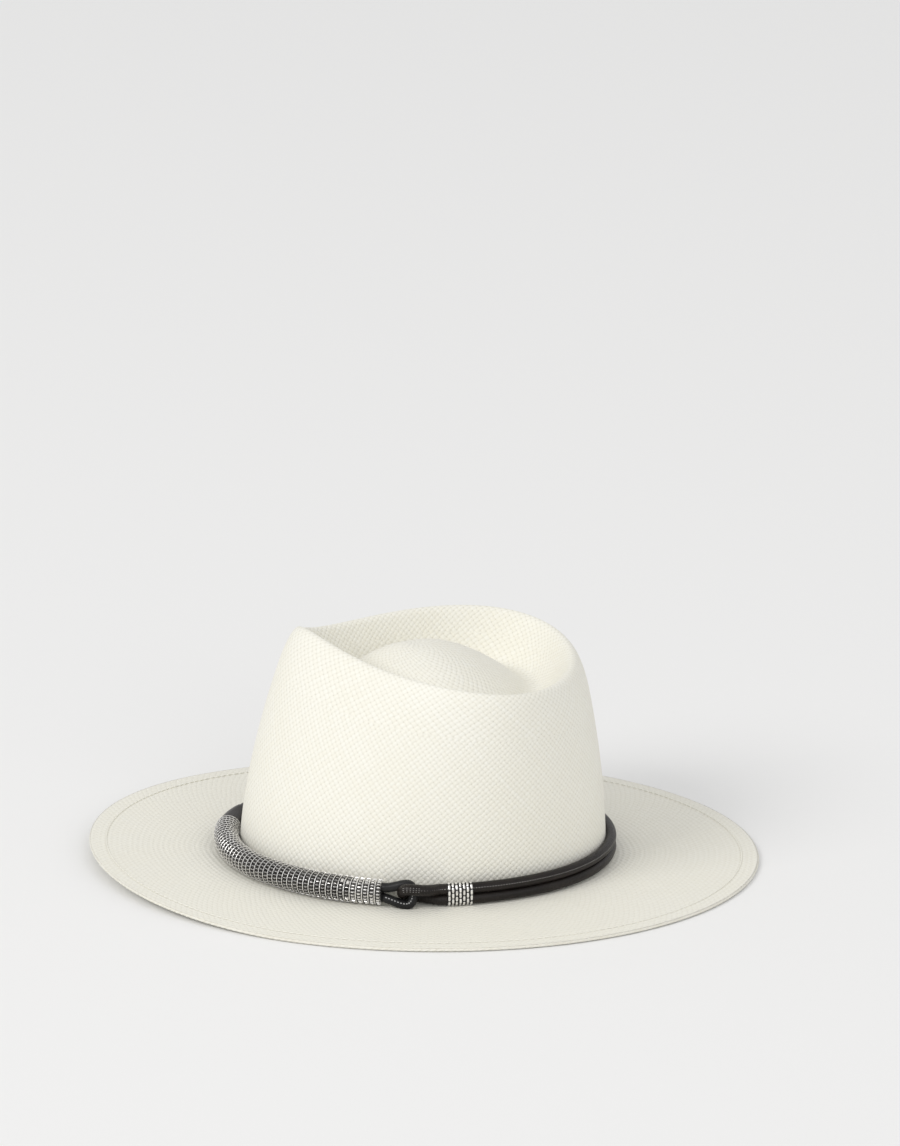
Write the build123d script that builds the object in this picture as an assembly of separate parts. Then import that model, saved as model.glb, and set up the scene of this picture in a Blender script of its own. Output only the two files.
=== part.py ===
from build123d import *
import math
import os

# Panama hat. Millimetres, +Z up, front of the hat at -Y, wearer's left at +X.
# The origin is under the middle of the brim, on the surface that the hat lies on.

# Brim
BRIM_LENGTH = 362.0
BRIM_WIDTH = 303.0
BRIM_EDGE_THICKNESS = 1.9
BRIM_TOP_AT_CROWN = 2.8
BRIM_DROOP_POWER = 1.5
FRONT_RISE = 7.0
FRONT_RISE_START = 0.3
FRONT_RISE_POWER = 1.5
RISE_OUT_POWER = 1.6
HEM_WIDTH_SHARE = 0.12
HEM_STEP_SHARE = 0.015
HEM_STITCH_COUNT = 260
HEM_STITCH_LENGTH = 2.6
HEM_STITCH_SHARE = 0.93
FOOT_TRIM = 0.15
STRAW_THICKNESS = 1.3

# Crown
BASE_FRONT = -99.6
BASE_REAR = 98.5
BASE_HALF_WIDTH = 83.0
RIM_FRONT = -68.2
RIM_REAR = 83.4
RIM_HALF_WIDTH = 75.9
RIM_TEARDROP = 0.42
FRONT_WALL_POWER = 1.6
REAR_WALL_POWER = 1.96
SIDE_WALL_POWER = 1.8
TEARDROP_POWER = 1.76
RIM_HEIGHT_FRONT = 120.7
RIM_HEIGHT_SIDE = 126.5
RIM_HEIGHT_REAR = 114.3
TIP_RISE = 16.9
TIP_RISE_SPREAD = 0.73
TIP_TURN = 0.37
CROWN_FILLET_SHARE = (0.05, 0.035)
RIM_ROLL_SHARE = (0.20, 0.08)

# Dome and the valley round it
DOME_CENTRE = -5.5
DOME_HEIGHT = 119.3
VALLEY_HEIGHT_REAR = 90.1
VALLEY_HEIGHT_FRONT = 95.7
VALLEY_AT = 0.297
VALLEY_ROUND_SHARE = (0.05, 0.06)
RIM_INWARD_POWER = 1.3
DOME_POWER = 1.8
BUTTON_SHARE = 0.955

# Sweatband and what is behind it
SWEATBAND_HEIGHTS = (1.2, 33.0)
SWEATBAND_THICKNESS = 0.9
SWEATBAND_STITCH_HEIGHT = 5.0
SWEATBAND_STITCH_COUNT = 140
SWEATBAND_STITCH_LENGTH = 2.4
SWEATBAND_JOINT_GAP = 0.4
TAPE_JOINT_GAP = 1.0
TAPE_HEIGHTS = (4.5, 13.0)
TAPE_THICKNESS = 0.3
GAUZE_HEIGHTS = (14.0, 31.0)
GAUZE_WIDTH = 16.0
LAYER_GAP = 0.15
REED_HEIGHTS = (1.4, 2.9)
REED_THICKNESS = 1.5
REED_GAP = 6.0
STITCH_RADIUS = 0.25
BOW_HEIGHT = 14.0
BOW_KNOT = 4.0
BOW_BEND_DEG = 9.0
BOW_LENGTH = 17.0
BOW_RIBBON_HEIGHT = 2.2

# Hat band
BAND_CENTRE = -2.75
BAND_HALF_LENGTH = 103.95
BAND_HALF_WIDTH = 90.4
BAND_END_RADIUS = 82.0
ROPE_HEIGHT = 9.9
ROPE_CORE_RADIUS = 4.9
BEAD_RING_PITCH = 3.2
BEAD_RADII = (0.95, 1.0)
CORD_RADIUS = 2.65
CORD_WALL = 0.8
BORE_PAST_END = 0.5
STRAND_HEIGHTS = (6.45, 11.8)
ROPE_START_DEG = 7.5
ROPE_END_Y = -10.0
END_CAP_LENGTH = 14.0
END_CAP_RADIUS = 4.6
END_CAP_WALL = 0.4
LOOP_RADIUS = 2.2
LOOP_STITCH_PITCH = 1.6
LINK_LENGTH = 25.5
LINK_STRAIGHT = 4.5
COLLAR_Y = 30.4
COLLAR_LENGTH = 13.5
COLLAR_RING_COUNT = 7
COLLAR_SLEEVE_WALL = 0.2
COLLAR_BEAD_RADIUS = 0.35

RING_POINTS = 48
SMALL = 0.05


def teardrop_peak(pointed):
    """Largest value of sin(t) * (1 - pointed * cos(t))."""
    if pointed < 1e-6:
        return 1.0
    c = (1 - math.sqrt(1 + 8 * pointed**2)) / (4 * pointed)
    return math.sqrt(1 - c * c) * (1 - pointed * c)


def outline(theta, front, rear, half_width, pointed=0.0):
    """A point on an oval whose front end can be pointed. theta is 0 at the front."""
    x = half_width * math.sin(theta) * (1 - pointed * math.cos(theta)) / teardrop_peak(pointed)
    y = (front + rear) / 2 - (rear - front) / 2 * math.cos(theta)
    return x, y


def rim_height(theta):
    c = math.cos(theta)
    turn = (theta - TIP_TURN + math.pi) % (2 * math.pi) - math.pi
    height = RIM_HEIGHT_SIDE + (RIM_HEIGHT_FRONT - RIM_HEIGHT_REAR) / 2 * c
    height += ((RIM_HEIGHT_FRONT + RIM_HEIGHT_REAR) / 2 - RIM_HEIGHT_SIDE) * c * c
    return height + TIP_RISE * math.exp(-((turn / TIP_RISE_SPREAD) ** 2))


def edge_rise(theta):
    """How far the brim's edge turns up towards the front."""
    share = (math.cos(theta) - FRONT_RISE_START) / (1 - FRONT_RISE_START)
    return FRONT_RISE * max(share, 0.0) ** FRONT_RISE_POWER


def brim_point(theta, out, drop=0.0):
    """Top of the brim. out is 0 at the crown and 1 at the edge."""
    bx, by = outline(theta, BASE_FRONT, BASE_REAR, BASE_HALF_WIDTH)
    ex, ey = outline(theta, -BRIM_LENGTH / 2, BRIM_LENGTH / 2, BRIM_WIDTH / 2)
    rise = edge_rise(theta) * out**RISE_OUT_POWER
    arch = (BRIM_TOP_AT_CROWN - BRIM_EDGE_THICKNESS) * (1 - out**BRIM_DROOP_POWER)
    z = rise + BRIM_EDGE_THICKNESS + arch - drop
    return Vector(bx + (ex - bx) * out, by + (ey - by) * out, z)


def hem_under_point(theta, out):
    """Underside of the folded edge, before it is trimmed level where it rests."""
    top = brim_point(theta, out)
    return Vector(top.X, top.Y, edge_rise(theta) * out**RISE_OUT_POWER - FOOT_TRIM)


def wall_outline(theta, up, inset=0.0):
    front = BASE_FRONT + (RIM_FRONT - BASE_FRONT) * up**FRONT_WALL_POWER
    rear = BASE_REAR + (RIM_REAR - BASE_REAR) * up**REAR_WALL_POWER
    half = BASE_HALF_WIDTH + (RIM_HALF_WIDTH - BASE_HALF_WIDTH) * up**SIDE_WALL_POWER
    pointed = RIM_TEARDROP * up**TEARDROP_POWER
    return outline(theta, front + inset, rear - inset, half - inset, pointed)


def wall_point(theta, up):
    """Outside of the crown wall. up is 0 at the brim and 1 at the rim."""
    x, y = wall_outline(theta, up)
    return Vector(x, y, BRIM_TOP_AT_CROWN + (rim_height(theta) - BRIM_TOP_AT_CROWN) * up)


def top_point(theta, inward):
    """Top of the crown. inward is 0 at the rim and 1 at the middle of the dome."""
    rx, ry = outline(theta, RIM_FRONT, RIM_REAR, RIM_HALF_WIDTH, RIM_TEARDROP)
    frontness = ((1 + math.cos(theta)) / 2) ** 2
    valley = VALLEY_HEIGHT_REAR + (VALLEY_HEIGHT_FRONT - VALLEY_HEIGHT_REAR) * frontness
    rim = rim_height(theta)
    if inward < VALLEY_AT:
        z = rim + (valley - rim) * math.sin(math.pi / 2 * (inward / VALLEY_AT) ** RIM_INWARD_POWER)
    else:
        share = min((inward - VALLEY_AT) / (BUTTON_SHARE - VALLEY_AT), 1.0)
        z = DOME_HEIGHT - (DOME_HEIGHT - valley) * (1 - share) ** DOME_POWER
    return Vector(rx * (1 - inward), DOME_CENTRE + (ry - DOME_CENTRE) * (1 - inward), z)


def sharp_skin(theta, s):
    """Outside of the straw. s is 0 at the brim edge, 1 at the crown, 2 at the rim, 3 in the middle."""
    if s <= 1:
        return brim_point(theta, 1 - s)
    if s <= 2:
        return wall_point(theta, s - 1)
    return top_point(theta, s - 2)


CORNERS = ((1, CROWN_FILLET_SHARE), (2, RIM_ROLL_SHARE), (2 + VALLEY_AT, VALLEY_ROUND_SHARE))


def skin(theta, s):
    """The outside of the straw with its corners rounded."""
    for corner, (before, after) in CORNERS:
        if corner - before < s < corner + after:
            t = (s - corner + before) / (before + after)
            a = sharp_skin(theta, corner - before)
            b = sharp_skin(theta, corner)
            c = sharp_skin(theta, corner + after)
            return a * (1 - t) ** 2 + b * (2 * t * (1 - t)) + c * t**2
    return sharp_skin(theta, s)


def inner_skin(theta, s):
    """The inside of the straw, one thickness behind the outside."""
    along = skin(theta, s + 0.004) - skin(theta, s - 0.004)
    around = skin(theta + 0.01, s) - skin(theta - 0.01, s)
    return skin(theta, s) + along.cross(around).normalized() * STRAW_THICKNESS


def ring(point_at):
    """A closed smooth wire through evenly spaced angles."""
    angles = [2 * math.pi * i / RING_POINTS for i in range(RING_POINTS)]
    shares = [i / RING_POINTS for i in range(RING_POINTS + 1)]
    points = [point_at(angle) for angle in angles]
    return Wire([Edge.make_spline(points, periodic=True, parameters=shares)])


def corner_stations(corner, before, after):
    return [corner - before + (before + after) * i / 4 for i in range(5)]


CROWN_CORNER = corner_stations(1, *CROWN_FILLET_SHARE)
RIM_CORNER = corner_stations(2, *RIM_ROLL_SHARE)
VALLEY_CORNER = corner_stations(2 + VALLEY_AT, *VALLEY_ROUND_SHARE)
WALL_STATIONS = [1.12, 1.22, 1.35, 1.5, 1.62, 1.72]
RIM_TO_VALLEY = [2.12, 2.16, 2.2] + VALLEY_CORNER[:1]
DOME_STATIONS = [2.43, 2.52, 2.62, 2.72, 2.84]


def skin_faces(point_at, start_ring, start, end_ring):
    """One side of the straw, from a ring on the brim to a ring on the dome, in bands."""
    brim = [s for s in (0.06, 0.12, 0.3, 0.5, 0.7, 0.85) if s > start] + CROWN_CORNER[:1]
    bands = (
        brim,
        CROWN_CORNER[1:],
        WALL_STATIONS + RIM_CORNER[:1],
        RIM_CORNER[1:],
        RIM_TO_VALLEY,
        VALLEY_CORNER[1:],
        DOME_STATIONS,
    )
    faces = []
    last = start_ring
    for stations in bands:
        rings = [last] + [ring(lambda a, s=s: point_at(a, s)) for s in stations]
        if stations is DOME_STATIONS:
            rings.append(end_ring)
        faces += Shell.make_loft(rings).faces()
        last = rings[-1]
    return faces


def straw_body():
    fold = 1 - HEM_WIDTH_SHARE
    inner_fold = fold - HEM_STEP_SHARE
    outer_edge = ring(lambda a: brim_point(a, 1))
    inner_edge = ring(lambda a: brim_point(a, inner_fold, STRAW_THICKNESS))
    button = ring(lambda a: skin(a, 2 + BUTTON_SHARE))
    button_under = button.moved(Location((0, 0, -STRAW_THICKNESS)))
    hem = [ring(lambda a, o=o: hem_under_point(a, o)) for o in (1, 0.96, 0.92, fold)]
    faces = skin_faces(skin, outer_edge, 0.0, button)
    faces += skin_faces(inner_skin, inner_edge, 1 - inner_fold + 0.05, button_under)
    faces += Shell.make_loft(hem).faces()
    faces += Shell.make_loft([hem[-1], inner_edge], True).faces()
    faces += Shell.make_loft([outer_edge, hem[0]], True).faces()
    faces += [Face(button), Face(button_under)]
    below = Location((0, 0, -BRIM_LENGTH / 2)) * Box(2 * BRIM_LENGTH, 2 * BRIM_LENGTH, BRIM_LENGTH)
    return Solid(Shell(faces)) - below


def lining_point(theta, z, inset):
    """A point inside the crown wall at one height, inset from the outside of the straw."""
    up = (z - BRIM_TOP_AT_CROWN) / (rim_height(theta) - BRIM_TOP_AT_CROWN)
    x, y = wall_outline(theta, max(up, 0.0), inset)
    return Vector(x, y, z)


def lining_strip(heights, inset, thickness):
    """A closed strip that follows the inside of the crown wall."""
    low, high = heights
    levels = [low + (high - low) * i / 3 for i in range(4)]

    def block(depth):
        return Solid.make_loft([ring(lambda a, z=z: lining_point(a, z, depth)) for z in levels])

    return block(inset) - block(inset + thickness)


TAPE_INSET = STRAW_THICKNESS + LAYER_GAP
SWEATBAND_INSET = TAPE_INSET + TAPE_THICKNESS + LAYER_GAP
LINING_INSET = SWEATBAND_INSET + SWEATBAND_THICKNESS


def rear_box(width):
    """A block through the rear of the lining, as wide as a joint or a patch there."""
    return Location((0, BASE_REAR, 0)) * Box(width, BASE_REAR, 3 * SWEATBAND_HEIGHTS[1])


def sweatband():
    strip = lining_strip(SWEATBAND_HEIGHTS, SWEATBAND_INSET, SWEATBAND_THICKNESS)
    return strip - rear_box(SWEATBAND_JOINT_GAP)


def reed_tape():
    return lining_strip(TAPE_HEIGHTS, TAPE_INSET, TAPE_THICKNESS) - rear_box(TAPE_JOINT_GAP)


def rear_joint_gauze():
    strip = lining_strip(GAUZE_HEIGHTS, TAPE_INSET, TAPE_THICKNESS)
    return strip & rear_box(GAUZE_WIDTH)


def four_arc_oval(half_length, half_width, end_radius):
    """Centres of a four-arc oval: the end arcs' offset, the side arcs' offset and radius."""
    end_offset = half_length - end_radius
    side_radius = half_width**2 + end_offset**2 - end_radius**2
    side_radius /= 2 * (half_width - end_radius)
    return end_offset, side_radius - half_width, side_radius


def sweatband_reed():
    """A plastic strip just outside the sweatband's lower edge, open at the rear."""
    inset = SWEATBAND_INSET - LAYER_GAP - REED_THICKNESS
    return lining_strip(REED_HEIGHTS, inset, REED_THICKNESS) - rear_box(REED_GAP)


def arc_tube(x, y, radius, z, tube_radius, start, stop):
    """A round bar bent about the vertical line at (x, y), between two angles in degrees."""
    face = Face(Wire.make_circle(tube_radius, Plane.XZ)).moved(Location((radius, 0, z)))
    bar = revolve(face, Axis.Z, stop - start)
    return bar.rotate(Axis.Z, start).moved(Location((x, y, 0)))


def stitch(position, direction, length, radius=STITCH_RADIUS):
    """One thread stitch, a short rod that lies along a direction."""
    plane = Plane(position - direction * (length / 2), z_dir=direction)
    return Solid.make_cylinder(radius, length, plane)


def stitch_row(point_at, count, length):
    row = []
    for i in range(count):
        angle = 2 * math.pi * (i + 0.5) / count
        direction = (point_at(angle + 0.01) - point_at(angle - 0.01)).normalized()
        row.append(stitch(point_at(angle), direction, length))
    return Compound(row)


def hem_stitching():
    lift = Vector(0, 0, STITCH_RADIUS + SMALL)
    out = 1 - HEM_WIDTH_SHARE * HEM_STITCH_SHARE
    return stitch_row(lambda a: brim_point(a, out) + lift, HEM_STITCH_COUNT, HEM_STITCH_LENGTH)


def sweatband_stitching():
    inset = LINING_INSET + STITCH_RADIUS + 3 * SMALL
    return stitch_row(
        lambda a: lining_point(a, SWEATBAND_STITCH_HEIGHT, inset),
        SWEATBAND_STITCH_COUNT,
        SWEATBAND_STITCH_LENGTH,
    )


def ribbon_loop(side):
    """One flat loop of ribbon, standing on edge and pinched at the knot."""
    tip = BOW_LENGTH * side
    upper = Bezier((0, 0), (tip / 2, 5.5), (tip, 3.5), (tip, 0))
    lower = Bezier((tip, 0), (tip, -3.5), (tip / 2, -5.5), (0, 0))
    leaf = make_face([upper, lower])
    inner = scale(leaf, by=0.8).moved(Location((0.1 * tip, 0, 0)))
    return extrude(leaf - inner, BOW_RIBBON_HEIGHT)


def bow():
    """The ribbon bow over the sweatband's rear joint, and its knot."""
    face_y = lining_point(math.pi, BOW_HEIGHT, LINING_INSET).Y - 0.3
    half_knot = BOW_KNOT / 2
    knot_place = Location((0, face_y - half_knot, BOW_HEIGHT))
    knot = knot_place * fillet(Box(BOW_KNOT, BOW_KNOT, BOW_KNOT).edges(), 1.0)
    loops = []
    for side in (-1, 1):
        bend = Location((side * (half_knot + 0.5), face_y - 0.5, BOW_HEIGHT), (0, 0, -BOW_BEND_DEG * side))
        upright = Location((0, 0, 0), (90, 0, 0))
        loops += (bend * upright * ribbon_loop(side)).solids()
    return Compound(loops), knot


END_OFFSET, SIDE_OFFSET, SIDE_RADIUS = four_arc_oval(
    BAND_HALF_LENGTH, BAND_HALF_WIDTH, BAND_END_RADIUS
)
SPLIT_DEG = math.degrees(math.atan2(END_OFFSET, SIDE_OFFSET))
ROPE_END_DEG = math.degrees(math.asin((ROPE_END_Y - BAND_CENTRE) / SIDE_RADIUS))
FRONT_ARC = (0.0, BAND_CENTRE - END_OFFSET, BAND_END_RADIUS)
REAR_ARC = (0.0, BAND_CENTRE + END_OFFSET, BAND_END_RADIUS)
LEFT_ARC = (-SIDE_OFFSET, BAND_CENTRE, SIDE_RADIUS)
RIGHT_ARC = (SIDE_OFFSET, BAND_CENTRE, SIDE_RADIUS)


def on_arc(arc, degrees, z):
    """Point on a band arc, and the direction of travel along it."""
    x, y, radius = arc
    turn = math.radians(degrees)
    point = Vector(x + radius * math.cos(turn), y + radius * math.sin(turn), z)
    return point, Vector(-math.sin(turn), math.cos(turn), 0)


def rope_core():
    front = arc_tube(*FRONT_ARC, ROPE_HEIGHT, ROPE_CORE_RADIUS, 270 - ROPE_START_DEG, 360 - SPLIT_DEG)
    side = arc_tube(*LEFT_ARC, ROPE_HEIGHT, ROPE_CORE_RADIUS, -SPLIT_DEG, ROPE_END_DEG)
    return front + side


def rope_bead_rings():
    """One torus for each ring of beads round the rope, a little fatter towards the loop."""
    front_length = math.radians(90 - SPLIT_DEG + ROPE_START_DEG) * BAND_END_RADIUS
    side_length = math.radians(ROPE_END_DEG + SPLIT_DEG) * SIDE_RADIUS
    total = front_length + side_length
    count = int(total / BEAD_RING_PITCH)
    rings = []
    for i in range(count):
        run = (i + 0.5) * total / count
        if run < front_length:
            degrees = 270 - ROPE_START_DEG + math.degrees(run / BAND_END_RADIUS)
            point, along = on_arc(FRONT_ARC, degrees, ROPE_HEIGHT)
        else:
            degrees = -SPLIT_DEG + math.degrees((run - front_length) / SIDE_RADIUS)
            point, along = on_arc(LEFT_ARC, degrees, ROPE_HEIGHT)
        bead = BEAD_RADII[0] + (BEAD_RADII[1] - BEAD_RADII[0]) * run / total
        plane = Plane(point, z_dir=along)
        rings.append(Solid.make_torus(ROPE_CORE_RADIUS + SMALL + bead, bead, plane))
    return Compound(rings)


def cap_end():
    """Where the front end piece meets the cord, and the direction from rope to cord."""
    point, along = on_arc(FRONT_ARC, 270 - ROPE_START_DEG, ROPE_HEIGHT)
    turn = math.degrees(END_CAP_LENGTH / BAND_END_RADIUS)
    end, end_along = on_arc(FRONT_ARC, 270 - ROPE_START_DEG - turn, sum(STRAND_HEIGHTS) / 2)
    return point, along * -1, end, end_along * -1


def rope_front_end():
    """The leather end piece: round at the rope, and an upright slot shape at the cord."""
    start, start_along, end, end_along = cap_end()
    round_end = Plane(start, x_dir=(0, 0, 1), z_dir=start_along)
    slot_end = Plane(end, x_dir=(0, 0, 1), z_dir=end_along)
    first = (round_end * Circle(END_CAP_RADIUS)).wire()
    span = STRAND_HEIGHTS[1] - STRAND_HEIGHTS[0]
    slot = SlotCenterToCenter(span, 2 * (CORD_RADIUS + END_CAP_WALL))
    last = (slot_end * slot).wire()
    return Solid.make_loft([first, last])


def link_point(along, out, up):
    """A point near the link: along the band to the rear, out from the crown, and up."""
    x, y, radius = LEFT_ARC
    turn = along / SIDE_RADIUS
    reach = radius + out
    return Vector(x + reach * math.cos(turn), y + reach * math.sin(turn), ROPE_HEIGHT + up)


# The loop leans out at the bottom, and its ends are set in the rope.
LOOP_ROUTE = [
    link_point(-6.9, 0.8, 2.6),
    link_point(-1.5, 1.0, 6.3),
    link_point(9.2, 1.0, 6.3),
    link_point(9.2, 3.8, -4.3),
    link_point(-1.5, 3.8, -4.3),
    link_point(-6.9, 0.8, -2.2),
]
LOOP_RADII = [5.0, 5.2, 5.2, 6.0]


def tube_along(path, radius):
    start = Plane(path @ 0, z_dir=path % 0)
    return sweep(Face(Wire.make_circle(radius, start)), path)


def loop_path():
    return FilletPolyline(*LOOP_ROUTE, radius=LOOP_RADII)


def rope_rear_loop():
    return tube_along(loop_path(), LOOP_RADIUS)


def rope_loop_seam():
    """Stitches along the loop's lower part, on its outward face."""
    path = loop_path()
    count = int(path.length / LOOP_STITCH_PITCH)
    first = math.ceil(count * 0.56)
    row = []
    for i in range(first, count - 2):
        share = i / count
        outward = Vector(1, 0, 0.6).normalized()
        place = path @ share + outward * (LOOP_RADIUS + STITCH_RADIUS + SMALL)
        row.append(stitch(place, path % share, 1.0))
    return Compound(row)


LINK_TURN_DEG = math.degrees(math.asin(LINK_LENGTH / SIDE_RADIUS))


def cord_link_path():
    """The doubled cord's bend through the loop, from the lower strand to the upper one."""
    low, high = STRAND_HEIGHTS
    lower, lower_dir = on_arc(LEFT_ARC, LINK_TURN_DEG, low)
    upper, upper_dir = on_arc(LEFT_ARC, LINK_TURN_DEG, high)
    route = [
        lower,
        lower - lower_dir * LINK_STRAIGHT,
        link_point(14.0, -4.0, -2.6),
        link_point(4.0, -4.0, -0.4),
        link_point(4.0, 7.2, 2.2),
        link_point(14.0, 7.2, 2.2),
        upper - upper_dir * LINK_STRAIGHT,
        upper,
    ]
    return FilletPolyline(*route, radius=[8.0, 9.0, 5.3, 5.3, 9.0, 8.0])


def band_arc(arc, start, stop, z):
    ends = [on_arc(arc, degrees, z)[0] for degrees in (start, (start + stop) / 2, stop)]
    return Edge.make_three_point_arc(*ends)


def strand_edges(z, beyond):
    """One strand's route, from near the link round the rear to the front end piece."""
    last = 270 - ROPE_START_DEG - math.degrees((END_CAP_LENGTH - beyond) / BAND_END_RADIUS)
    return [
        band_arc(LEFT_ARC, LINK_TURN_DEG, SPLIT_DEG, z),
        band_arc(REAR_ARC, SPLIT_DEG, 180 - SPLIT_DEG, z),
        band_arc(RIGHT_ARC, 180 - SPLIT_DEG, 180 + SPLIT_DEG, z),
        band_arc(FRONT_ARC, 180 + SPLIT_DEG, last, z),
    ]


def doubled_cord(radius, beyond=0.0):
    """Both strands and the bend that joins them, as one cord."""
    low, high = STRAND_HEIGHTS
    edges = strand_edges(low, beyond) + cord_link_path().edges() + strand_edges(high, beyond)
    return tube_along(Wire(edges), radius)


COLLAR_DEG = math.degrees(math.asin((COLLAR_Y - BAND_CENTRE) / SIDE_RADIUS))
COLLAR_HALF_DEG = math.degrees(COLLAR_LENGTH / 2 / SIDE_RADIUS)
SLEEVE_INNER = CORD_RADIUS + SMALL
SLEEVE_OUTER = SLEEVE_INNER + COLLAR_SLEEVE_WALL


def strand_slot(radius):
    """An upright slot round both strands."""
    return SlotCenterToCenter(STRAND_HEIGHTS[1] - STRAND_HEIGHTS[0], 2 * radius, rotation=90)


def collar_sleeve():
    place = Plane.XZ * Location((SIDE_RADIUS, sum(STRAND_HEIGHTS) / 2, 0))
    ring_face = place * (strand_slot(SLEEVE_OUTER) - strand_slot(SLEEVE_INNER))
    sleeve = revolve(ring_face, Axis.Z, 2 * COLLAR_HALF_DEG)
    sleeve = sleeve.rotate(Axis.Z, COLLAR_DEG - COLLAR_HALF_DEG)
    return sleeve.moved(Location((LEFT_ARC[0], LEFT_ARC[1], 0)))


def collar_bead_rings():
    rings = []
    pitch = 2 * COLLAR_HALF_DEG / COLLAR_RING_COUNT
    for i in range(COLLAR_RING_COUNT):
        degrees = COLLAR_DEG - COLLAR_HALF_DEG + (i + 0.5) * pitch
        point, along = on_arc(LEFT_ARC, degrees, sum(STRAND_HEIGHTS) / 2)
        plane = Plane(point, x_dir=(0, 0, 1), z_dir=along)
        half = (STRAND_HEIGHTS[1] - STRAND_HEIGHTS[0]) / 2
        slot = SlotCenterToCenter(2 * half, 2 * (SLEEVE_OUTER + SMALL + COLLAR_BEAD_RADIUS))
        path = (plane * slot).wire()
        start = Plane(path @ 0, z_dir=path % 0)
        rings.append(sweep(Face(Wire.make_circle(COLLAR_BEAD_RADIUS, start)), path))
    return Compound([solid for item in rings for solid in item.solids()])


def main():
    os.makedirs("parts", exist_ok=True)
    loops, knot = bow()
    pieces = {
        "straw_body": straw_body(),
        "hem_stitching": hem_stitching(),
        "sweatband": sweatband(),
        "sweatband_reed": sweatband_reed(),
        "reed_tape": reed_tape(),
        "sweatband_stitching": sweatband_stitching(),
        "rear_joint_gauze": rear_joint_gauze(),
        "bow_loops": loops,
        "bow_knot": knot,
        "rope_core": rope_core(),
        "rope_bead_rings": rope_bead_rings(),
        "rope_front_end": rope_front_end(),
        "rope_rear_loop": rope_rear_loop(),
        "rope_loop_seam": rope_loop_seam(),
        "leather_cord": doubled_cord(CORD_RADIUS) - doubled_cord(CORD_RADIUS - CORD_WALL, BORE_PAST_END),
        "cord_filler": doubled_cord(CORD_RADIUS - CORD_WALL - SMALL),
        "collar_sleeve": collar_sleeve(),
        "collar_bead_rings": collar_bead_rings(),
    }
    for name, piece in pieces.items():
        export_step(piece, f"parts/{name}.step")
        print(name, "volume", round(piece.volume, 1), "solids", len(piece.solids()))


main()
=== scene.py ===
import math

import bmesh
import bpy
import numpy as np
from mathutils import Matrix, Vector


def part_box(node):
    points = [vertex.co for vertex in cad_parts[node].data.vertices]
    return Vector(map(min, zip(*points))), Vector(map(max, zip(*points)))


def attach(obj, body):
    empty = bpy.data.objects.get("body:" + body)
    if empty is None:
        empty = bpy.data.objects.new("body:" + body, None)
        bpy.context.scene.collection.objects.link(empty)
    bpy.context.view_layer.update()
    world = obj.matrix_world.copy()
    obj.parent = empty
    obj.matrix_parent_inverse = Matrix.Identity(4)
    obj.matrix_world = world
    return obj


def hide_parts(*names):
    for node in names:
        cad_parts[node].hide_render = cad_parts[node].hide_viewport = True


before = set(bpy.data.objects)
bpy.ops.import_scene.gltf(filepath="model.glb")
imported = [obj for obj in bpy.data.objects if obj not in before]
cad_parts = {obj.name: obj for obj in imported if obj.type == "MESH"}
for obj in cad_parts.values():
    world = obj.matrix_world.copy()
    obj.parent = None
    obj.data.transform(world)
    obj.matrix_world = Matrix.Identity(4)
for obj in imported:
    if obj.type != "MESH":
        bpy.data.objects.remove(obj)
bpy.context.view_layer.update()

# Lengths below are in millimetres unless a name says otherwise, and MM turns them into metres.
MM = 0.001
TURN = 2 * math.pi
UP = np.array([0.0, 0.0, 1.0])
random = np.random.default_rng(7)


# ------ camera, floor and light

# Angles are in degrees. Places and sizes of the lights and the floor are in metres, power in watts.
CAMERA_AZIMUTH = 97.5
CAMERA_ELEVATION = 19.7
CAMERA_DISTANCE = 4.0
CAMERA_LENS = 232.5
CAMERA_SENSOR_WIDTH = 36.0
AIM_LEFT = -0.204
AIM_DOWN = -2.17

WORLD_STRENGTH = 0.72
LIGHTS_AIM_AT = (0, 0, 0.04)
KEY_LIGHT = {"position": (4.4, -4.5, 4.8), "size": 3.6, "power": 218, "colour": (1.0, 0.985, 0.96)}
FILL_LIGHT = {"position": (5.5, 3.2, 3.2), "size": 4.0, "power": 62, "colour": (1.0, 1.0, 1.0)}
FLOOR_HALF_WIDTH = 9.0
FLOOR_HEIGHT = -0.0004
FLOOR_COLOUR = (0.88, 0.88, 0.88, 1)


def make_camera():
    """A long lens that looks at the wearer's left side from a little above."""
    data = bpy.data.cameras.new("view_camera")
    data.sensor_width = CAMERA_SENSOR_WIDTH
    data.lens = CAMERA_LENS
    data.clip_end = 50.0
    camera = bpy.data.objects.new("view_camera", data)
    bpy.context.collection.objects.link(camera)
    azimuth = math.radians(CAMERA_AZIMUTH)
    elevation = math.radians(CAMERA_ELEVATION)
    back = Vector((
        math.sin(azimuth) * math.cos(elevation),
        -math.cos(azimuth) * math.cos(elevation),
        math.sin(elevation),
    ))
    camera.location = back * CAMERA_DISTANCE
    pitch = math.radians(CAMERA_ELEVATION + AIM_DOWN)
    yaw = math.radians(CAMERA_AZIMUTH + AIM_LEFT / math.cos(elevation))
    camera.rotation_euler = (math.pi / 2 - pitch, 0, yaw)
    bpy.context.scene.camera = camera


def area_light(name, position, size, power, colour):
    """A square soft light that faces the hat."""
    data = bpy.data.lights.new(name, "AREA")
    data.shape = "SQUARE"
    data.size = size
    data.energy = power
    data.color = colour
    light = bpy.data.objects.new(name, data)
    bpy.context.collection.objects.link(light)
    light.location = position
    aim = Vector(LIGHTS_AIM_AT) - Vector(position)
    light.rotation_euler = aim.to_track_quat("-Z", "Y").to_euler()


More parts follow.
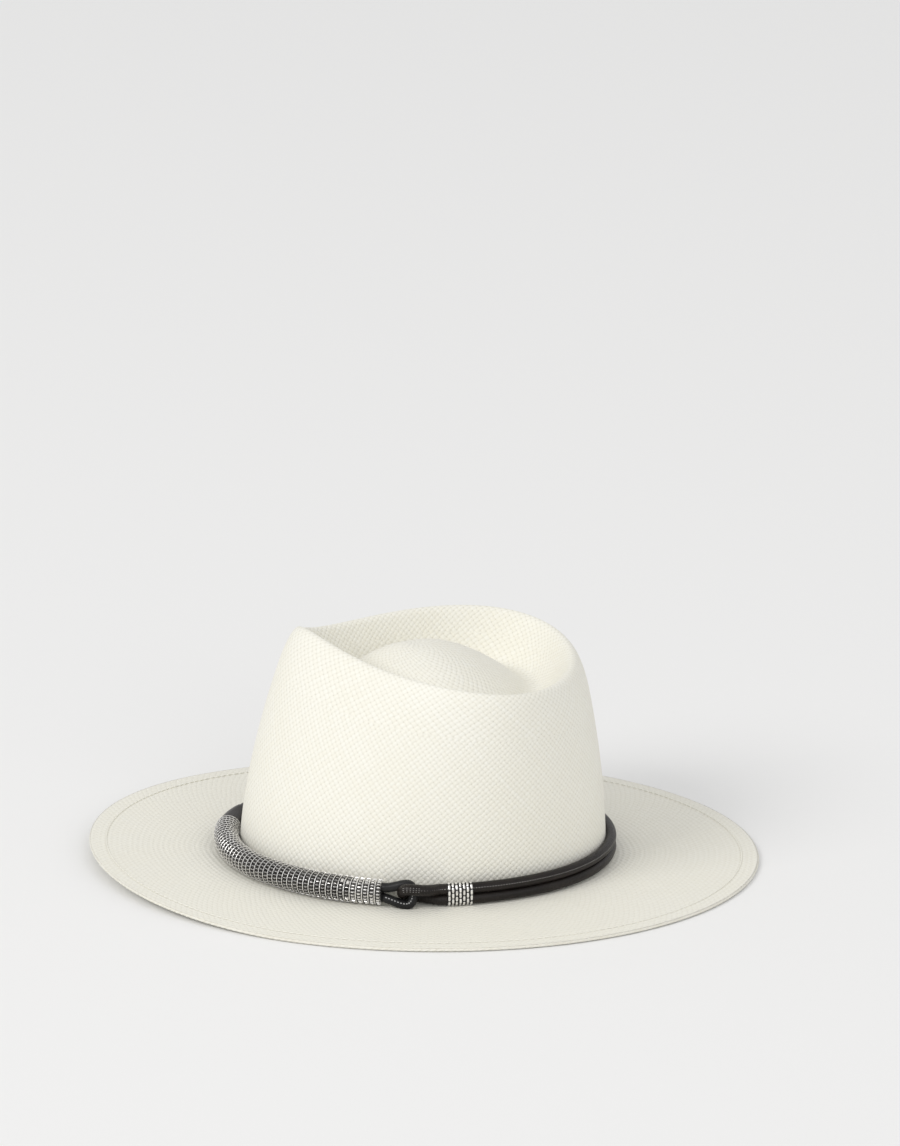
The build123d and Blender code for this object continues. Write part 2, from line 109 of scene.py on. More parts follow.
def make_stage():
    """White surroundings, two soft lights and a pale paper floor."""
    world = bpy.data.worlds.new("studio")
    bpy.context.scene.world = world
    world.use_nodes = True
    background = world.node_tree.nodes["Background"]
    background.inputs["Color"].default_value = (1.0, 1.0, 1.0, 1)
    background.inputs["Strength"].default_value = WORLD_STRENGTH
    area_light("key", **KEY_LIGHT)
    area_light("fill", **FILL_LIGHT)
    paper = Nodes("floor_paper")
    paper.set(Base_Color=FLOOR_COLOUR, Roughness=0.95, Specular_IOR_Level=0.1)
    half = FLOOR_HALF_WIDTH / MM
    corners = [(-half, -half, 0), (half, -half, 0), (half, half, 0), (-half, half, 0)]
    floor = new_object("floor", corners, [(0, 1, 2, 3)], paper.material)
    floor.location.z = FLOOR_HEIGHT
    bpy.context.scene.view_settings.view_transform = "Standard"


# ------ shape of the straw

straw_low, straw_high = (np.array(corner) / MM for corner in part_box("straw_body"))
BRIM_LENGTH = straw_high[1] - straw_low[1]
BRIM_WIDTH = straw_high[0] - straw_low[0]
BRIM_EDGE_THICKNESS = 1.9
BRIM_TOP_AT_CROWN = 2.8
BRIM_DROOP_POWER = 1.5
FRONT_RISE = 7.0
FRONT_RISE_START = 0.3
FRONT_RISE_POWER = 1.5
RISE_OUT_POWER = 1.6
STRAW_THICKNESS = 1.3
HEM_AT = 0.886
HEM_GROOVE_WIDTH = 0.007
HEM_GROOVE_DEPTH = 0.16

BASE_FRONT = -99.6
FRONT_WALL_POWER = 1.6
BASE_REAR = 98.5
BASE_HALF_WIDTH = 83.0
RIM_FRONT = -68.2
RIM_REAR = 83.4
RIM_HALF_WIDTH = 75.9
RIM_TEARDROP = 0.42
REAR_WALL_POWER = 1.96
SIDE_WALL_POWER = 1.8
TEARDROP_POWER = 1.76
RIM_HEIGHT_FRONT = 120.7
RIM_HEIGHT_SIDE = 126.5
RIM_HEIGHT_REAR = 114.3
TIP_RISE = 16.9
TIP_RISE_SPREAD = 0.73
TIP_TURN = 0.37
RIM_INWARD_POWER = 1.3
DOME_POWER = 1.8

DOME_CENTRE = -5.5
DOME_HEIGHT = 119.3
VALLEY_HEIGHT_REAR = 90.1
VALLEY_HEIGHT_FRONT = 95.7
VALLEY_AT = 0.297
BUTTON_SHARE = 0.955


def teardrop_peak(pointed):
    """The widest point of a teardrop outline, as a share of a plain oval's half width."""
    if pointed < 1e-6:
        return 1.0
    c = (1 - math.sqrt(1 + 8 * pointed**2)) / (4 * pointed)
    return math.sqrt(1 - c * c) * (1 - pointed * c)


def outline(theta, front, rear, half_width, pointed=0.0):
    """An oval whose front end can be pointed. theta is 0 at the front."""
    x = half_width * np.sin(theta) * (1 - pointed * np.cos(theta)) / teardrop_peak(pointed)
    y = (front + rear) / 2 - (rear - front) / 2 * np.cos(theta)
    return x, y


def rim_height(theta):
    """Height of the crown's rim: its own height at the front, sides and rear, and the raised tip."""
    c = np.cos(theta)
    turn = (theta - TIP_TURN + math.pi) % TURN - math.pi
    height = RIM_HEIGHT_SIDE + (RIM_HEIGHT_FRONT - RIM_HEIGHT_REAR) / 2 * c
    height = height + ((RIM_HEIGHT_FRONT + RIM_HEIGHT_REAR) / 2 - RIM_HEIGHT_SIDE) * c * c
    return height + TIP_RISE * np.exp(-((turn / TIP_RISE_SPREAD) ** 2))


def brim_rise(theta, out):
    """How far the brim lifts off the floor towards the front. out is as in brim_point."""
    share = (np.cos(theta) - FRONT_RISE_START) / (1 - FRONT_RISE_START)
    return FRONT_RISE * np.maximum(share, 0.0) ** FRONT_RISE_POWER * out**RISE_OUT_POWER


def brim_point(theta, out):
    """Top of the brim. out is 0 at the crown and 1 at the edge."""
    bx, by = outline(theta, BASE_FRONT, BASE_REAR, BASE_HALF_WIDTH)
    ex, ey = outline(theta, -BRIM_LENGTH / 2, BRIM_LENGTH / 2, BRIM_WIDTH / 2)
    arch = (BRIM_TOP_AT_CROWN - BRIM_EDGE_THICKNESS) * (1 - out**BRIM_DROOP_POWER)
    z = brim_rise(theta, out) + BRIM_EDGE_THICKNESS + arch
    return np.stack([bx + (ex - bx) * out, by + (ey - by) * out, z], -1)


def brim_edge(theta):
    """The top of the brim's edge, and the level direction outward from it."""
    top = brim_point(theta, 1.0)
    outward = top - brim_point(theta, 0.985)
    outward[:, 2] = 0
    outward /= np.linalg.norm(outward, axis=1, keepdims=True)
    return top, outward


def wall_point(theta, up):
    """Outside of the crown wall. up is 0 at the brim and 1 at the rim."""
    front = BASE_FRONT + (RIM_FRONT - BASE_FRONT) * up**FRONT_WALL_POWER
    rear = BASE_REAR + (RIM_REAR - BASE_REAR) * up**REAR_WALL_POWER
    half = BASE_HALF_WIDTH + (RIM_HALF_WIDTH - BASE_HALF_WIDTH) * up**SIDE_WALL_POWER
    pointed = RIM_TEARDROP * up**TEARDROP_POWER
    x, y = outline(theta, front, rear, half, pointed)
    z = BRIM_TOP_AT_CROWN + (rim_height(theta) - BRIM_TOP_AT_CROWN) * up
    return np.stack([x, y, z], -1)


def top_point(theta, inward):
    """Top of the crown. inward is 0 at the rim and 1 at the middle of the dome."""
    rx, ry = outline(theta, RIM_FRONT, RIM_REAR, RIM_HALF_WIDTH, RIM_TEARDROP)
    frontness = ((1 + np.cos(theta)) / 2) ** 2
    valley = VALLEY_HEIGHT_REAR + (VALLEY_HEIGHT_FRONT - VALLEY_HEIGHT_REAR) * frontness
    rim = rim_height(theta)
    if inward < VALLEY_AT:
        z = rim + (valley - rim) * math.sin(math.pi / 2 * (inward / VALLEY_AT) ** RIM_INWARD_POWER)
    else:
        share = min((inward - VALLEY_AT) / (BUTTON_SHARE - VALLEY_AT), 1.0)
        z = DOME_HEIGHT - (DOME_HEIGHT - valley) * (1 - share) ** DOME_POWER
    return np.stack([rx * (1 - inward), DOME_CENTRE + (ry - DOME_CENTRE) * (1 - inward), z], -1)


def sharp_skin(theta, s):
    """Outside of the straw. s is 0 at the brim's edge, 1 at the crown, 2 at the rim and 3 at the middle."""
    if s <= 1:
        return brim_point(theta, 1 - s)
    if s <= 2:
        return wall_point(theta, s - 1)
    return top_point(theta, s - 2)


# Where the profile turns a corner, and how far before and after it the rounding reaches.
CORNERS = ((1, (0.05, 0.035)), (2, (0.20, 0.08)), (2 + VALLEY_AT, (0.05, 0.06)))


def skin(theta, s):
    """The outside of the straw with its corners rounded."""
    for corner, (before, after) in CORNERS:
        if corner - before < s < corner + after:
            t = (s - corner + before) / (before + after)
            a = sharp_skin(theta, corner - before)
            b = sharp_skin(theta, corner)
            c = sharp_skin(theta, corner + after)
            return a * (1 - t) ** 2 + b * (2 * t * (1 - t)) + c * t**2
    return sharp_skin(theta, s)


# Steps along the profile and round the hat that give the skin's slope.
PROFILE_STEP = 0.004
ROUND_STEP = 0.01


def inner_skin(theta, s):
    """The inside of the straw, one thickness behind the outside."""
    along = skin(theta, s + PROFILE_STEP) - skin(theta, s - PROFILE_STEP)
    around = skin(theta + ROUND_STEP, s) - skin(theta - ROUND_STEP, s)
    normal = np.cross(along, around)
    normal /= np.linalg.norm(normal, axis=-1, keepdims=True)
    return skin(theta, s) + normal * STRAW_THICKNESS


# ------ mesh helpers


def new_object(name, vertices, faces, material, smooth=True):
    """A piece from vertices in millimetres."""
    mesh = bpy.data.meshes.new(name)
    mesh.from_pydata((np.asarray(vertices) * MM).tolist(), [], [list(face) for face in faces])
    mesh.update()
    if smooth:
        mesh.shade_smooth()
    else:
        mesh.shade_flat()
    mesh.materials.append(material)
    piece = bpy.data.objects.new(name, mesh)
    bpy.context.collection.objects.link(piece)
    return piece


def grid_faces(rows, columns, closed_rows=False):
    """Quads between rings of points, each ring closed. closed_rows joins the last ring to the first."""
    faces = []
    last = rows if closed_rows else rows - 1
    for i in range(last):
        j = (i + 1) % rows
        for k in range(columns):
            m = (k + 1) % columns
            faces.append((i * columns + k, i * columns + m, j * columns + m, j * columns + k))
    return faces


def capped_tube_faces(rows, sides):
    """The faces of a tube made of rings of points, with a flat face at each end."""
    first = tuple(range(sides - 1, -1, -1))
    last = tuple((rows - 1) * sides + k for k in range(sides))
    return grid_faces(rows, sides) + [first, last]


# ------ straw piece

COLUMNS = 360
WEAVE_PITCH = 4.05
WEAVE_ROW = 3.5
COARSEST_PITCH = 4.7
FINEST_PITCH = 3.2
UNDERSIDE_STATIONS = (0.885, 0.92, 0.96, 0.99)
UNDERSIDE_HEIGHT = 0.02
EDGE_ANGLES = (-60, -25, 0, 25, 60)

# Places of the rings along the profile, closer together where it bends: start, stop and count.
OUTER_STATIONS = (
    (0.004, 0.09, 10), (0.096, 0.132, 9), (0.15, 0.90, 34), (0.92, 1.05, 12), (1.07, 1.76, 38),
    (1.775, 2.08, 30), (2.095, 2.38, 24), (2.40, 2.985, 24),
)
INNER_STATIONS = (
    (2.97, 2.40, 13), (2.37, 2.10, 13), (2.08, 1.77, 16), (1.73, 1.07, 14), (1.05, 0.92, 7), (0.90, 0.15, 16),
)


def hem_groove(out):
    """Depth of the pressed line where the brim's fold ends."""
    return HEM_GROOVE_DEPTH * math.exp(-(((out - HEM_AT) / HEM_GROOVE_WIDTH) ** 2))


def straw_rows(theta):
    """Rings of points from the outer edge over the crown, and back inside to the edge."""
    rows = []
    for s in np.concatenate([np.linspace(*run) for run in OUTER_STATIONS]):
        ring = skin(theta, s)
        ring[:, 2] -= hem_groove(1 - s)
        rows.append(ring)
    for height in (DOME_HEIGHT, DOME_HEIGHT - STRAW_THICKNESS):
        rows.append(np.tile([0.0, DOME_CENTRE, height], (len(theta), 1)))
    for s in np.concatenate([np.linspace(*run) for run in INNER_STATIONS]):
        rows.append(inner_skin(theta, s))
    for out in UNDERSIDE_STATIONS:
        ring = brim_point(theta, out)
        ring[:, 2] = brim_rise(theta, out) + UNDERSIDE_HEIGHT
        rows.append(ring)
    return rows


def edge_rows(theta):
    """The rounded edge of the brim, from the underside to the top."""
    rows = []
    top, outward = brim_edge(theta)
    radius = BRIM_EDGE_THICKNESS / 2
    for angle in np.radians(EDGE_ANGLES):
        ring = top.copy()
        ring += outward * (radius * (math.cos(angle) - 1))
        ring[:, 2] += radius * (math.sin(angle) - 1)
        rows.append(ring)
    return rows


def ring_steps(row):
    """Distances from each point of a ring to the next one, and back to the first."""
    return np.linalg.norm(np.roll(row, -1, axis=0) - row, axis=1)


def weave_counts(rows):
    """Weave periods round each ring. The count changes only where the pitch would leave its limits."""
    counts = []
    count = None
    for row in rows:
        length = ring_steps(row).sum()
        if count is None or not FINEST_PITCH <= length / count <= COARSEST_PITCH:
            count = max(int(round(length / WEAVE_PITCH)), 3)
        counts.append(count)
    return counts


def arc_shares(row):
    """How far round its ring each point is, from 0 at the first to 1 back at the first."""
    step = ring_steps(row)
    length = step.sum()
    if length < 1e-6:
        return np.linspace(0, 1, len(row) + 1)
    return np.concatenate([[0], np.cumsum(step)]) / length


def straw_body(material):
    """The whole straw as one closed skin: top, crown, inside, underside and edge."""
    theta = np.linspace(0, TURN, COLUMNS, endpoint=False)
    rows = straw_rows(theta) + edge_rows(theta)
    faces = grid_faces(len(rows), COLUMNS, closed_rows=True)
    piece = new_object("woven_straw_body", np.concatenate(rows), faces, material)
    add_weave_map(piece, rows)
    weld(piece)
    return piece


def add_weave_map(piece, rows):
    """A UV map in weave periods: x round the hat and y along its profile."""
    count = len(rows)
    counts = weave_counts(rows)
    shares = [arc_shares(row) for row in rows]
    travel = [0.0]
    for i in range(count):
        gap = np.linalg.norm(rows[(i + 1) % count] - rows[i], axis=1).mean()
        travel.append(travel[-1] + gap / WEAVE_ROW)
    layer = piece.data.uv_layers.new(name="weave")
    coordinates = np.empty((count, COLUMNS, 4, 2))
    for i in range(count):
        low, high = shares[i] * counts[i], shares[(i + 1) % count] * counts[i]
        coordinates[i, :, :, 0] = np.stack([low[:-1], low[1:], high[1:], high[:-1]], 1)
        coordinates[i, :, :2, 1] = travel[i]
        coordinates[i, :, 2:, 1] = travel[i + 1]
    layer.data.foreach_set("uv", coordinates.ravel())


WELD_DISTANCE = 1e-6


def weld(piece):
    """Joins the points that coincide at the middle of the dome, and turns all faces outward."""
    mesh = bmesh.new()
    mesh.from_mesh(piece.data)
    bmesh.ops.remove_doubles(mesh, verts=mesh.verts, dist=WELD_DISTANCE)
    bmesh.ops.recalc_face_normals(mesh, faces=mesh.faces)
    mesh.to_mesh(piece.data)
    mesh.free()


# ------ node helpers


class Nodes:
    """Short calls for building a material's nodes. A value is a number, a colour or another node's output."""

    def __init__(self, name):
        self.material = bpy.data.materials.new(name)
        self.material.use_nodes = True
        self.tree = self.material.node_tree
        self.shader = self.tree.nodes["Principled BSDF"]

    def node(self, kind, inputs=None, **settings):
        made = self.tree.nodes.new(kind)
        for key, value in settings.items():
            setattr(made, key, value)
        for key, value in (inputs or {}).items():
            self.link(value, made.inputs[key])
        return made

    def link(self, value, socket):
        if isinstance(value, bpy.types.NodeSocket):
            self.tree.links.new(value, socket)
        else:
            socket.default_value = value

    def maths(self, operation, *values):
        return self.node("ShaderNodeMath", dict(enumerate(values)), operation=operation).outputs[0]

    def times(self, first, second):
        return self.maths("MULTIPLY", first, second)

    def noise(self, vector, scale, detail=2.0, roughness=0.5):
        inputs = {"Vector": vector, "Scale": scale, "Detail": detail, "Roughness": roughness}
        return self.node("ShaderNodeTexNoise", inputs).outputs[0]

    def cells(self, vector, scale, feature):
        inputs = {"Vector": vector, "Scale": scale}
        return self.node("ShaderNodeTexVoronoi", inputs, feature=feature).outputs

    def remap(self, value, low, high, to_low=0.0, to_high=1.0):
        """Turns the range from low to high into the one from to_low to to_high, and stops at its ends."""
        inputs = {"Value": value, "From Min": low, "From Max": high, "To Min": to_low, "To Max": to_high}
        return self.node("ShaderNodeMapRange", inputs, clamp=True).outputs[0]

    def colour_mix(self, share, first, second):
        inputs = {"Factor": share, 6: first, 7: second}
        return self.node("ShaderNodeMix", inputs, data_type="RGBA").outputs[2]

    def set(self, **values):
        for key, value in values.items():
            self.link(value, self.shader.inputs[key.replace("_", " ")])

    def finish(self, colour, roughness, height, distance, strength, **others):
        """Sets the shader, with a bump of height times distance, and gives the material."""
        inputs = {"Height": height, "Distance": distance, "Strength": strength}
        bump = self.node("ShaderNodeBump", inputs).outputs[0]
        self.set(Base_Color=colour, Roughness=roughness, Normal=bump, **others)
        return self.material

    def position(self):
        return self.node("ShaderNodeTexCoord").outputs["Object"]

    def uv(self, name):
        return self.node("ShaderNodeUVMap", uv_map=name).outputs[0]

    def split(self, vector):
        return self.node("ShaderNodeSeparateXYZ", {0: vector}).outputs

    def wave(self, value, period, sharpness=1.0):
        """Rounded ridges, from 0 to 1."""
        swing = self.maths("COSINE", self.times(value, TURN / period))
        return self.maths("POWER", self.maths("MULTIPLY_ADD", swing, 0.5, 0.5), sharpness)

    def wrap(self, centre_y, radius):
        """Millimetres round the hat, and millimetres up, for a band-like surface."""
        x, y, z = self.split(self.position())
        turn = self.maths("ARCTAN2", self.maths("SUBTRACT", y, centre_y * MM), x)
        return self.times(turn, radius), self.maths("DIVIDE", z, MM)


def rgb(red, green, blue):
    return (red, green, blue, 1.0)


def dimmed(colour, share):
    """A colour made darker or brighter, and no brighter than white."""
    return rgb(*[min(share * part, 1) for part in colour[:3]])


# ------ materials

# Noise scales are per metre. Bump distances are in metres. Wave periods are in millimetres, except
# on the straw, where they are in weave periods.
STRAW_CREAM = rgb(0.885, 0.872, 0.795)
STRAW_WARM = rgb(0.862, 0.84, 0.745)
STRAW_BLEACHED = rgb(0.90, 0.89, 0.835)
STRAW_OF_BRIM = rgb(0.835, 0.82, 0.745)
STRAW_ROW_SHADE = rgb(0.70, 0.67, 0.57)
# Painted shade for the low parts of the weave.
STRAW_PAINTED_SHADE = rgb(0.70, 0.665, 0.555)
STRAW_HOLE = rgb(0.40, 0.37, 0.29)
STRAND_LEVEL = 0.58
STRAND_SWING = 0.42
SECOND_FAMILY_START = 431.0
BRIM_ROW_PERIOD = 0.77
# Heights, in metres, between which the look of the brim gives way to that of the crown.
BRIM_ENDS_FROM = 0.005
BRIM_ENDS_AT = 0.014

# The middle of the band's oval, in Y, and the radii that turn angles round the hat into millimetres.
BAND_CENTRE = -2.75
BAND_WRAP_RADIUS = 92.0
BRIM_WRAP_RADIUS = 165.0


def weave_pattern(m):
    """Diagonal strands over and under each other, on the UV map of weave periods.

    Gives the height of the upper strand, the gap at the crossings, and a number for the upper strand.
    """
    x, y, _ = m.split(m.uv("weave"))
    a = m.maths("ADD", x, y)
    b = m.maths("SUBTRACT", x, y)
    cell_a, cell_b = m.maths("FLOOR", a), m.maths("FLOOR", b)
    along = m.maths("SUBTRACT", m.maths("SUBTRACT", a, cell_a), 0.5)
    across = m.maths("SUBTRACT", m.maths("SUBTRACT", b, cell_b), 0.5)
    parity = m.maths("FLOORED_MODULO", m.maths("ADD", cell_a, cell_b), 2.0)
    sign = m.maths("MULTIPLY_ADD", parity, -2.0, 1.0)

    def profile(value):
        doubled = m.times(value, 2.0)
        return m.maths("SUBTRACT", 1.0, m.maths("POWER", m.maths("ABSOLUTE", doubled), 3.0))

    def strand(value, run, swing_height):
        swing = m.times(m.maths("COSINE", m.times(run, math.pi)), sign)
        return m.times(profile(value), m.maths("MULTIPLY_ADD", swing, swing_height, STRAND_LEVEL))

    first = strand(across, along, STRAND_SWING)
    second = strand(along, across, -STRAND_SWING)
    beside_first = m.maths("SUBTRACT", 1.0, profile(across))
    beside_second = m.maths("SUBTRACT", 1.0, profile(along))
    inputs = {0: parity, 2: cell_b, 3: m.maths("ADD", cell_a, SECOND_FAMILY_START)}
    number = m.node("ShaderNodeMix", inputs, data_type="FLOAT").outputs[0]
    return m.maths("MAXIMUM", first, second), m.times(beside_first, beside_second), number


def straw_material():
    """Basket-woven toquilla straw: diagonal strands over and under, pinholes at the crossings."""
    m = Nodes("toquilla_straw")
    height, gap, number = weave_pattern(m)
    place = m.position()
    uneven = m.noise(place, 260.0)
    hole = m.times(m.remap(gap, 0.30, 0.95), m.remap(uneven, 0.35, 0.65, 0.25, 1.0))

    # Each strand has its own shade.
    shade = m.node("ShaderNodeTexWhiteNoise", {"W": number}, noise_dimensions="1D").outputs[0]
    blotch = m.noise(place, 22.0, 3.0)
    pale = m.colour_mix(m.remap(shade, 0, 1, 0, 0.7), STRAW_CREAM, STRAW_WARM)
    pale = m.colour_mix(m.remap(blotch, 0.4, 0.7, 0, 0.35), pale, STRAW_BLEACHED)

    # The brim is pressed flatter than the crown, and shows faint rows round the hat.
    up = m.split(place)[2]
    depth = m.remap(up, BRIM_ENDS_FROM, BRIM_ENDS_AT, 0.62, 1.0)
    brim = m.remap(up, BRIM_ENDS_FROM, BRIM_ENDS_AT, 1.0, 0.0)
    drift = m.maths("MULTIPLY_ADD", m.noise(place, 16.0), 1.6, m.split(m.uv("weave"))[1])
    rows = m.times(m.wave(drift, BRIM_ROW_PERIOD), brim)
    pale = m.colour_mix(m.times(brim, 0.55), pale, STRAW_OF_BRIM)
    pale = m.colour_mix(m.times(rows, 0.16), pale, STRAW_ROW_SHADE)
    # Painted shade darkens the low parts of the weave, and less of it on the flatter brim.
    painted_weave_shade = m.times(m.remap(height, 0.1, 0.75, 0.42, 0.0), depth)
    colour = m.colour_mix(painted_weave_shade, pale, STRAW_PAINTED_SHADE)
    holes = m.times(m.times(hole, 0.62), depth)
    colour = m.colour_mix(holes, colour, STRAW_HOLE)

    fibre = m.noise(place, 1400.0)
    relief = m.maths("ADD", m.times(height, depth), m.times(fibre, 0.12))
    relief = m.maths("MULTIPLY_ADD", rows, -0.3, relief)
    return m.finish(
        colour, m.remap(shade, 0, 1, 0.55, 0.72), relief, 0.00034, 1.0,
        Specular_IOR_Level=0.35, Sheen_Weight=0.08,
    )


def edge_strand_material():
    """Bare straw strands: fine streaks, a sheen, and a slightly different shade every few strands."""
    m = Nodes("straw_edge_strand")
    place = m.position()
    around, up = m.wrap(0.0, BRIM_WRAP_RADIUS)
    streaks = m.noise(place, 2100.0, 3.0, 0.6)
    shade = m.noise(place, 120.0, 1.0)
    grooves = m.wave(m.maths("ADD", up, m.times(around, 0.35)), 0.3)
    colour = m.colour_mix(m.remap(shade, 0.35, 0.65), rgb(0.86, 0.845, 0.765), rgb(0.80, 0.775, 0.675))
    colour = m.colour_mix(m.remap(streaks, 0.5, 0.75, 0.0, 0.35), colour, rgb(0.68, 0.645, 0.53))
    height = m.maths("MULTIPLY_ADD", streaks, 0.5, grooves)
    return m.finish(colour, m.remap(streaks, 0.3, 0.7, 0.5, 0.7), height, 0.00005, 0.8, Sheen_Weight=0.08)


def leather_material(
    name, dark, light, rib=0.0, grain=900.0, roughness=(0.30, 0.46), relief=0.00006, gloss=0.26
):
    """Grained leather with a satin finish, paler where it is rubbed, and fine ribs on a cord."""
    m = Nodes(name)
    place = m.position()
    pebble = m.cells(place, grain, "SMOOTH_F1")
    pores = m.noise(place, grain * 2.3, 3.0)
    mottle = m.noise(place, 70.0, 3.0)
    rubbed = m.remap(m.noise(place, 240.0, 4.0, 0.65), 0.50, 0.75)
    height = m.maths("MULTIPLY_ADD", pores, 0.4, pebble["Distance"])
    colour = m.colour_mix(m.remap(mottle, 0.3, 0.7), dark, light)
    colour = m.colour_mix(m.times(rubbed, 0.22), colour, dimmed(light, 2.2))
    if rib:
        run = m.split(m.uv("run"))[0]
        ridges = m.wave(m.maths("MULTIPLY_ADD", m.noise(place, 160.0, 1.0), 0.4, run), rib)
        height = m.maths("MULTIPLY_ADD", ridges, 0.9, height)
        # Painted shade darkens the grooves between the ribs.
        colour = m.colour_mix(m.remap(ridges, 0, 0.5, 0.35, 0.0), colour, dimmed(dark, 0.5))
    return m.finish(
        colour, m.remap(pores, 0.3, 0.7, roughness[0], roughness[1]), height, relief, 0.8,
        Specular_IOR_Level=gloss,
    )


def thread_material(name, colour, shade):
    """Twisted thread: slanting plies and a little fluff."""
    m = Nodes(name)
    place = m.position()
    around, up = m.wrap(BAND_CENTRE, BAND_WRAP_RADIUS)
    plies = m.wave(m.maths("ADD", around, up), 0.45)
    fluff = m.noise(place, 2600.0)
    tone = m.noise(place, 190.0)
    # Painted shade darkens the grooves between the plies. The tone noise below darkens patches at random.
    mixed = m.colour_mix(m.remap(plies, 0, 1, 0.55, 0.0), colour, shade)
    mixed = m.colour_mix(m.remap(tone, 0.35, 0.7, 0.0, 0.4), mixed, shade)
    height = m.maths("MULTIPLY_ADD", fluff, 0.4, plies)
    return m.finish(mixed, m.remap(fluff, 0.3, 0.7, 0.55, 0.75), height, 0.00005, 0.8, Sheen_Weight=0.15)


def cloth_material(name, colour, shade, pitch, ribbed=False):
    """A plain weave, or the cross ribs of a grosgrain ribbon."""
    m = Nodes(name)
    place = m.position()
    around, up = m.wrap(BAND_CENTRE, BAND_WRAP_RADIUS)
    warp = m.wave(around, pitch)
    weft = m.wave(up, pitch * (0.35 if ribbed else 1.0))
    if ribbed:
        height = m.maths("MULTIPLY_ADD", weft, 0.15, warp)
    else:
        height = m.maths("MAXIMUM", warp, weft)
    slub = m.noise(place, 1100.0, 3.0)
    stain = m.noise(place, 45.0, 3.0)
    # Painted shade darkens the low points of the weave or ribs. Slubs and stains darken it at random.
    mixed = m.colour_mix(m.remap(height, 0.1, 0.8, 0.8, 0.0), colour, shade)
    mixed = m.colour_mix(m.remap(slub, 0.45, 0.75, 0.0, 0.4), mixed, shade)
    mixed = m.colour_mix(m.remap(stain, 0.45, 0.75, 0.0, 0.25), mixed, shade)
    height = m.maths("MULTIPLY_ADD", slub, 0.3, height)
    return m.finish(mixed, m.remap(slub, 0.3, 0.7, 0.6, 0.8), height, 0.00012, 0.8, Sheen_Weight=0.2)


def reed_material():
    """Frosted clear plastic with fine drawing lines."""
    m = Nodes("clear_reed_plastic")
    _, up = m.wrap(BAND_CENTRE, BAND_WRAP_RADIUS)
    lines = m.wave(up, 0.25)
    haze = m.noise(m.position(), 320.0, 3.0)
    colour = m.colour_mix(m.remap(haze, 0.35, 0.7), rgb(0.78, 0.77, 0.73), rgb(0.66, 0.65, 0.60))
    height = m.maths("MULTIPLY_ADD", haze, 0.5, lines)
    return m.finish(colour, m.remap(haze, 0.3, 0.7, 0.25, 0.42), height, 0.00002, 0.6, Specular_IOR_Level=0.5)


def metal_material(name, colour, tarnish, amount):
    """Bright plated metal, darker where tarnish sits, with fine scratches."""
    m = Nodes(name)
    place = m.position()
    patches = m.noise(place, 620.0, 4.0, 0.6)
    scratches = m.noise(place, 3200.0)
    dull = m.remap(patches, 0.42, 0.68, 0.0, amount)
    colour = m.colour_mix(dull, colour, tarnish)
    roughness = m.remap(m.maths("ADD", scratches, patches), 0.7, 1.3, 0.16, 0.34)
    return m.finish(colour, roughness, scratches, 0.00002, 0.5, Metallic=0.7)


def stone_material():
    """Dark cut beads with a metallic glint, in patches of different greys about as big as a bead."""
    m = Nodes("dark_cut_beads")
    place = m.position()
    tint = m.node("ShaderNodeSeparateColor", {0: m.cells(place, 420.0, "F1")["Color"]}).outputs[0]
    haze = m.noise(place, 1500.0, 3.0)
    colour = m.colour_mix(tint, rgb(0.010, 0.009, 0.0085), rgb(0.060, 0.056, 0.052))
    colour = m.colour_mix(m.remap(haze, 0.55, 0.8, 0.0, 0.2), colour, rgb(0.22, 0.21, 0.20))
    return m.finish(
        colour, m.remap(haze, 0.3, 0.7, 0.14, 0.30), haze, 0.00003, 0.5,
        Metallic=0.15, Specular_IOR_Level=0.32,
    )


# ------ band geometry

# The band is an oval of four arcs. An arc is its centre's x and y, and its radius. Turns are in radians.
BAND_HALF_LENGTH = 103.95
BAND_HALF_WIDTH = 90.4
BAND_END_RADIUS = 82.0
END_OFFSET = BAND_HALF_LENGTH - BAND_END_RADIUS
SIDE_RADIUS = (
    (BAND_HALF_WIDTH**2 + END_OFFSET**2 - BAND_END_RADIUS**2) / (2 * (BAND_HALF_WIDTH - BAND_END_RADIUS))
)
SIDE_OFFSET = SIDE_RADIUS - BAND_HALF_WIDTH
SPLIT = math.atan2(END_OFFSET, SIDE_OFFSET)
FRONT_ARC = (0.0, BAND_CENTRE - END_OFFSET, BAND_END_RADIUS)
REAR_ARC = (0.0, BAND_CENTRE + END_OFFSET, BAND_END_RADIUS)
LEFT_ARC = (-SIDE_OFFSET, BAND_CENTRE, SIDE_RADIUS)
RIGHT_ARC = (SIDE_OFFSET, BAND_CENTRE, SIDE_RADIUS)

ROPE_HEIGHT = 9.9
ROPE_START = math.radians(7.5)
ROPE_START_TURN = 1.5 * math.pi - ROPE_START
ROPE_END_Y = -10.0
ROPE_FRONT_LENGTH = (math.pi / 2 - SPLIT + ROPE_START) * BAND_END_RADIUS
ROPE_SIDE_LENGTH = (math.asin((ROPE_END_Y - BAND_CENTRE) / SIDE_RADIUS) + SPLIT) * SIDE_RADIUS
ROPE_RING_COUNT = 48
RING_PITCH = (ROPE_FRONT_LENGTH + ROPE_SIDE_LENGTH) / ROPE_RING_COUNT
CAPPED_RINGS = 3

# The last rings at the loop are all bright, and a few before them are partly bright.
BRIGHT_RINGS = 5
FADE_RINGS = 4
SHINY_SHARE = 0.35
BEADS_ROUND = 22
BEAD_SEAT_RADIUS = 4.95
BEAD_SHIFT = 0.2
BEAD_SIZE = (2.15, 1.15, 1.88)
BEAD_HEIGHT_SPREAD = 0.03
BEAD_TILT_SPREAD = 0.05
BEAD_TABLE_SHARE = (0.62, 0.5)
BEAD_CHAMFER_SHARE = 0.45
RING_TURN_SPREAD = 0.06
SETTING_SIZE = (2.1, 0.50, 1.97)
LOW_SETTING_SIZE = (2.1, 0.50, 1.6)
WIRE_RADIUS = 6.64
WIRE_THICKNESS = 0.31
WIRE_SHIFT = 0.12
BEAD, SHINY_BEAD, DARK_SETTING, BRIGHT_METAL = range(4)

